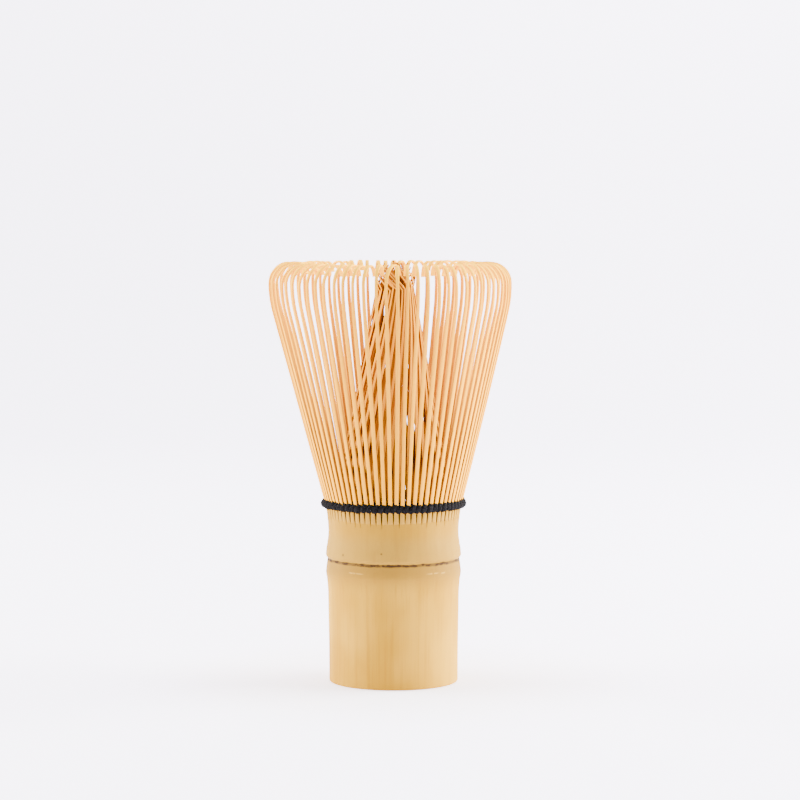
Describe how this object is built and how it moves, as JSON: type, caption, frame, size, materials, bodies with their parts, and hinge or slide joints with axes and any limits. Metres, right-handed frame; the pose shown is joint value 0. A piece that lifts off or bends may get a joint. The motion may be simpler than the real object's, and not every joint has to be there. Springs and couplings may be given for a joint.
{
  "type": "bamboo tea whisk",
  "caption": "Bamboo tea whisk with a hollow culm handle, a laced ring of hooked outer tines and a swirled inner bundle.",
  "frame": {"origin": "centre of the handle's flat end, on the surface that the whisk stands on", "axes": "+Z along the whisk's axis from the handle's end to the tips of the tines, +X to the whisk's right as seen from the front, -Y towards the front"},
  "size_m": [0.0632, 0.0632, 0.11],
  "materials": {
    "culm": "satin",
    "outer_tine": "satin",
    "inner_tine": "matte",
    "thread": "matte"
  },
  "bodies": {
    "handle": {"grip_culm": "culm", "joint_ring": "culm", "joint_septum": "culm", "head_collar": "culm", "lacing_outer_row": "thread", "lacing_inner_row": "thread", "lacing_knot": "thread"},
    "outer_sector_01": {"outer_tines_01": "outer_tine"},
    "outer_sector_02": {"outer_tines_02": "outer_tine"},
    "outer_sector_03": {"outer_tines_03": "outer_tine"},
    "outer_sector_04": {"outer_tines_04": "outer_tine"},
    "outer_sector_05": {"outer_tines_05": "outer_tine"},
    "outer_sector_06": {"outer_tines_06": "outer_tine"},
    "outer_sector_07": {"outer_tines_07": "outer_tine"},
    "outer_sector_08": {"outer_tines_08": "outer_tine"},
    "outer_sector_09": {"outer_tines_09": "outer_tine"},
    "outer_sector_10": {"outer_tines_10": "outer_tine"},
    "outer_sector_11": {"outer_tines_11": "outer_tine"},
    "outer_sector_12": {"outer_tines_12": "outer_tine"},
    "outer_sector_13": {"outer_tines_13": "outer_tine"},
    "outer_sector_14": {"outer_tines_14": "outer_tine"},
    "outer_sector_15": {"outer_tines_15": "outer_tine"},
    "outer_sector_16": {"outer_tines_16": "outer_tine"},
    "outer_sector_17": {"outer_tines_17": "outer_tine"},
    "outer_sector_18": {"outer_tines_18": "outer_tine"},
    "inner_sector_01": {"inner_tines_01": "inner_tine"},
    "inner_sector_02": {"inner_tines_02": "inner_tine"},
    "inner_sector_03": {"inner_tines_03": "inner_tine"},
    "inner_sector_04": {"inner_tines_04": "inner_tine"},
    "inner_sector_05": {"inner_tines_05": "inner_tine"},
    "inner_sector_06": {"inner_tines_06": "inner_tine"},
    "inner_sector_07": {"inner_tines_07": "inner_tine"},
    "inner_sector_08": {"inner_tines_08": "inner_tine"},
    "inner_sector_09": {"inner_tines_09": "inner_tine"},
    "inner_sector_10": {"inner_tines_10": "inner_tine"},
    "inner_sector_11": {"inner_tines_11": "inner_tine"},
    "inner_sector_12": {"inner_tines_12": "inner_tine"},
    "inner_sector_13": {"inner_tines_13": "inner_tine"},
    "inner_sector_14": {"inner_tines_14": "inner_tine"},
    "inner_sector_15": {"inner_tines_15": "inner_tine"},
    "inner_sector_16": {"inner_tines_16": "inner_tine"},
    "inner_sector_17": {"inner_tines_17": "inner_tine"},
    "inner_sector_18": {"inner_tines_18": "inner_tine"}
  },
  "joints": [
    {"name": "outer_flex_01", "type": "hinge", "parent": "handle", "child": "outer_sector_01", "pos_m": [0.01758, 0, 0.0469], "axis": [0, 1, 0], "range_deg": [-4, 5], "stiffness_Nm_per_rad": 0.02},
    {"name": "outer_flex_02", "type": "hinge", "parent": "handle", "child": "outer_sector_02", "pos_m": [0.01652, 0.00601, 0.0469], "axis": [-0.342, 0.9397, 0], "range_deg": [-4, 5], "stiffness_Nm_per_rad": 0.02},
    {"name": "outer_flex_03", "type": "hinge", "parent": "handle", "child": "outer_sector_03", "pos_m": [0.01347, 0.0113, 0.0469], "axis": [-0.6428, 0.766, 0], "range_deg": [-4, 5], "stiffness_Nm_per_rad": 0.02},
    {"name": "outer_flex_04", "type": "hinge", "parent": "handle", "child": "outer_sector_04", "pos_m": [0.00879, 0.01523, 0.0469], "axis": [-0.866, 0.5, 0], "range_deg": [-4, 5], "stiffness_Nm_per_rad": 0.02},
    {"name": "outer_flex_05", "type": "hinge", "parent": "handle", "child": "outer_sector_05", "pos_m": [0.00305, 0.01731, 0.0469], "axis": [-0.9848, 0.1736, 0], "range_deg": [-4, 5], "stiffness_Nm_per_rad": 0.02},
    {"name": "outer_flex_06", "type": "hinge", "parent": "handle", "child": "outer_sector_06", "pos_m": [-0.00305, 0.01731, 0.0469], "axis": [-0.9848, -0.1736, 0], "range_deg": [-4, 5], "stiffness_Nm_per_rad": 0.02},
    {"name": "outer_flex_07", "type": "hinge", "parent": "handle", "child": "outer_sector_07", "pos_m": [-0.00879, 0.01523, 0.0469], "axis": [-0.866, -0.5, 0], "range_deg": [-4, 5], "stiffness_Nm_per_rad": 0.02},
    {"name": "outer_flex_08", "type": "hinge", "parent": "handle", "child": "outer_sector_08", "pos_m": [-0.01347, 0.0113, 0.0469], "axis": [-0.6428, -0.766, 0], "range_deg": [-4, 5], "stiffness_Nm_per_rad": 0.02},
    {"name": "outer_flex_09", "type": "hinge", "parent": "handle", "child": "outer_sector_09", "pos_m": [-0.01652, 0.00601, 0.0469], "axis": [-0.342, -0.9397, 0], "range_deg": [-4, 5], "stiffness_Nm_per_rad": 0.02},
    {"name": "outer_flex_10", "type": "hinge", "parent": "handle", "child": "outer_sector_10", "pos_m": [-0.01758, 0, 0.0469], "axis": [0, -1, 0], "range_deg": [-4, 5], "stiffness_Nm_per_rad": 0.02},
    {"name": "outer_flex_11", "type": "hinge", "parent": "handle", "child": "outer_sector_11", "pos_m": [-0.01652, -0.00601, 0.0469], "axis": [0.342, -0.9397, 0], "range_deg": [-4, 5], "stiffness_Nm_per_rad": 0.02},
    {"name": "outer_flex_12", "type": "hinge", "parent": "handle", "child": "outer_sector_12", "pos_m": [-0.01347, -0.0113, 0.0469], "axis": [0.6428, -0.766, 0], "range_deg": [-4, 5], "stiffness_Nm_per_rad": 0.02},
    {"name": "outer_flex_13", "type": "hinge", "parent": "handle", "child": "outer_sector_13", "pos_m": [-0.00879, -0.01523, 0.0469], "axis": [0.866, -0.5, 0], "range_deg": [-4, 5], "stiffness_Nm_per_rad": 0.02},
    {"name": "outer_flex_14", "type": "hinge", "parent": "handle", "child": "outer_sector_14", "pos_m": [-0.00305, -0.01731, 0.0469], "axis": [0.9848, -0.1736, 0], "range_deg": [-4, 5], "stiffness_Nm_per_rad": 0.02},
    {"name": "outer_flex_15", "type": "hinge", "parent": "handle", "child": "outer_sector_15", "pos_m": [0.00305, -0.01731, 0.0469], "axis": [0.9848, 0.1736, 0], "range_deg": [-4, 5], "stiffness_Nm_per_rad": 0.02},
    {"name": "outer_flex_16", "type": "hinge", "parent": "handle", "child": "outer_sector_16", "pos_m": [0.00879, -0.01523, 0.0469], "axis": [0.866, 0.5, 0], "range_deg": [-4, 5], "stiffness_Nm_per_rad": 0.02},
    {"name": "outer_flex_17", "type": "hinge", "parent": "handle", "child": "outer_sector_17", "pos_m": [0.01347, -0.0113, 0.0469], "axis": [0.6428, 0.766, 0], "range_deg": [-4, 5], "stiffness_Nm_per_rad": 0.02},
    {"name": "outer_flex_18", "type": "hinge", "parent": "handle", "child": "outer_sector_18", "pos_m": [0.01652, -0.00601, 0.0469], "axis": [0.342, 0.9397, 0], "range_deg": [-4, 5], "stiffness_Nm_per_rad": 0.02},
    {"name": "inner_bloom_01", "type": "hinge", "parent": "handle", "child": "inner_sector_01", "pos_m": [0.01579, 0.00069, 0.0434], "axis": [-0.0436, 0.999, 0], "range_deg": [0, 6], "stiffness_Nm_per_rad": 0.004},
    {"name": "inner_bloom_02", "type": "hinge", "parent": "handle", "child": "inner_sector_02", "pos_m": [0.0146, 0.00605, 0.0434], "axis": [-0.3827, 0.9239, 0], "range_deg": [0, 6], "stiffness_Nm_per_rad": 0.004},
    {"name": "inner_bloom_03", "type": "hinge", "parent": "handle", "child": "inner_sector_03", "pos_m": [0.01165, 0.01067, 0.0434], "axis": [-0.6756, 0.7373, 0], "range_deg": [0, 6], "stiffness_Nm_per_rad": 0.004},
    {"name": "inner_bloom_04", "type": "hinge", "parent": "handle", "child": "inner_sector_04", "pos_m": [0.0073, 0.01401, 0.0434], "axis": [-0.887, 0.4617, 0], "range_deg": [0, 6], "stiffness_Nm_per_rad": 0.004},
    {"name": "inner_bloom_05", "type": "hinge", "parent": "handle", "child": "inner_sector_05", "pos_m": [0.00206, 0.01566, 0.0434], "axis": [-0.9914, 0.1305, 0], "range_deg": [0, 6], "stiffness_Nm_per_rad": 0.004},
    {"name": "inner_bloom_06", "type": "hinge", "parent": "handle", "child": "inner_sector_06", "pos_m": [-0.00342, 0.01542, 0.0434], "axis": [-0.9763, -0.2164, 0], "range_deg": [0, 6], "stiffness_Nm_per_rad": 0.004},
    {"name": "inner_bloom_07", "type": "hinge", "parent": "handle", "child": "inner_sector_07", "pos_m": [-0.00849, 0.01333, 0.0434], "axis": [-0.8434, -0.5373, 0], "range_deg": [0, 6], "stiffness_Nm_per_rad": 0.004},
    {"name": "inner_bloom_08", "type": "hinge", "parent": "handle", "child": "inner_sector_08", "pos_m": [-0.01253, 0.00962, 0.0434], "axis": [-0.6088, -0.7934, 0], "range_deg": [0, 6], "stiffness_Nm_per_rad": 0.004},
    {"name": "inner_bloom_09", "type": "hinge", "parent": "handle", "child": "inner_sector_09", "pos_m": [-0.01507, 0.00475, 0.0434], "axis": [-0.3007, -0.9537, 0], "range_deg": [0, 6], "stiffness_Nm_per_rad": 0.004},
    {"name": "inner_bloom_10", "type": "hinge", "parent": "handle", "child": "inner_sector_10", "pos_m": [-0.01579, -0.00069, 0.0434], "axis": [0.0436, -0.999, 0], "range_deg": [0, 6], "stiffness_Nm_per_rad": 0.004},
    {"name": "inner_bloom_11", "type": "hinge", "parent": "handle", "child": "inner_sector_11", "pos_m": [-0.0146, -0.00605, 0.0434], "axis": [0.3827, -0.9239, 0], "range_deg": [0, 6], "stiffness_Nm_per_rad": 0.004},
    {"name": "inner_bloom_12", "type": "hinge", "parent": "handle", "child": "inner_sector_12", "pos_m": [-0.01165, -0.01067, 0.0434], "axis": [0.6756, -0.7373, 0], "range_deg": [0, 6], "stiffness_Nm_per_rad": 0.004},
    {"name": "inner_bloom_13", "type": "hinge", "parent": "handle", "child": "inner_sector_13", "pos_m": [-0.0073, -0.01401, 0.0434], "axis": [0.887, -0.4617, 0], "range_deg": [0, 6], "stiffness_Nm_per_rad": 0.004},
    {"name": "inner_bloom_14", "type": "hinge", "parent": "handle", "child": "inner_sector_14", "pos_m": [-0.00206, -0.01566, 0.0434], "axis": [0.9914, -0.1305, 0], "range_deg": [0, 6], "stiffness_Nm_per_rad": 0.004},
    {"name": "inner_bloom_15", "type": "hinge", "parent": "handle", "child": "inner_sector_15", "pos_m": [0.00342, -0.01542, 0.0434], "axis": [0.9763, 0.2164, 0], "range_deg": [0, 6], "stiffness_Nm_per_rad": 0.004},
    {"name": "inner_bloom_16", "type": "hinge", "parent": "handle", "child": "inner_sector_16", "pos_m": [0.00849, -0.01333, 0.0434], "axis": [0.8434, 0.5373, 0], "range_deg": [0, 6], "stiffness_Nm_per_rad": 0.004},
    {"name": "inner_bloom_17", "type": "hinge", "parent": "handle", "child": "inner_sector_17", "pos_m": [0.01253, -0.00962, 0.0434], "axis": [0.6088, 0.7934, 0], "range_deg": [0, 6], "stiffness_Nm_per_rad": 0.004},
    {"name": "inner_bloom_18", "type": "hinge", "parent": "handle", "child": "inner_sector_18", "pos_m": [0.01507, -0.00475, 0.0434], "axis": [0.3007, 0.9537, 0], "range_deg": [0, 6], "stiffness_Nm_per_rad": 0.004}
  ],
  "couplings": [
    {"joint": "inner_bloom_02", "follows": "inner_bloom_01", "ratio": 1},
    {"joint": "inner_bloom_03", "follows": "inner_bloom_01", "ratio": 1},
    {"joint": "inner_bloom_04", "follows": "inner_bloom_01", "ratio": 1},
    {"joint": "inner_bloom_05", "follows": "inner_bloom_01", "ratio": 1},
    {"joint": "inner_bloom_06", "follows": "inner_bloom_01", "ratio": 1},
    {"joint": "inner_bloom_07", "follows": "inner_bloom_01", "ratio": 1},
    {"joint": "inner_bloom_08", "follows": "inner_bloom_01", "ratio": 1},
    {"joint": "inner_bloom_09", "follows": "inner_bloom_01", "ratio": 1},
    {"joint": "inner_bloom_10", "follows": "inner_bloom_01", "ratio": 1},
    {"joint": "inner_bloom_11", "follows": "inner_bloom_01", "ratio": 1},
    {"joint": "inner_bloom_12", "follows": "inner_bloom_01", "ratio": 1},
    {"joint": "inner_bloom_13", "follows": "inner_bloom_01", "ratio": 1},
    {"joint": "inner_bloom_14", "follows": "inner_bloom_01", "ratio": 1},
    {"joint": "inner_bloom_15", "follows": "inner_bloom_01", "ratio": 1},
    {"joint": "inner_bloom_16", "follows": "inner_bloom_01", "ratio": 1},
    {"joint": "inner_bloom_17", "follows": "inner_bloom_01", "ratio": 1},
    {"joint": "inner_bloom_18", "follows": "inner_bloom_01", "ratio": 1}
  ]
}
